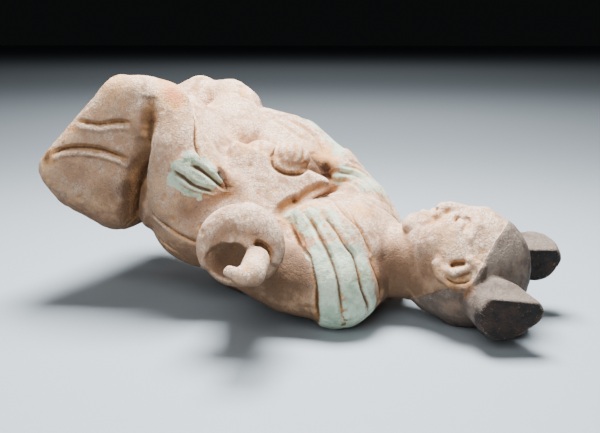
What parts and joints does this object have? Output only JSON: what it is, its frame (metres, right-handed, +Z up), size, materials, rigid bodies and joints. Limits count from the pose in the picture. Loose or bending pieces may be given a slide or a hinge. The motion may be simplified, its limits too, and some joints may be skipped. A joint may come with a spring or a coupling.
{
  "type": "kneeling tomb figure",
  "caption": "Moulded earthenware figure of a kneeling attendant with paired hair buns and a flared sleeve mouth, lying on its back.",
  "frame": {"origin": "middle of the figure's box on the ground that it lies on", "axes": "+X runs from the folded legs to the head, +Y to the figure's right side, +Z up from the ground towards its face"},
  "size_m": [0.215, 0.1422, 0.1012],
  "materials": {
    "painted_clay": "matte fired clay with worn slip and mineral colours"
  },
  "bodies": {
    "root": {"kneeling_figure": "painted_clay"}
  },
  "joints": []
}
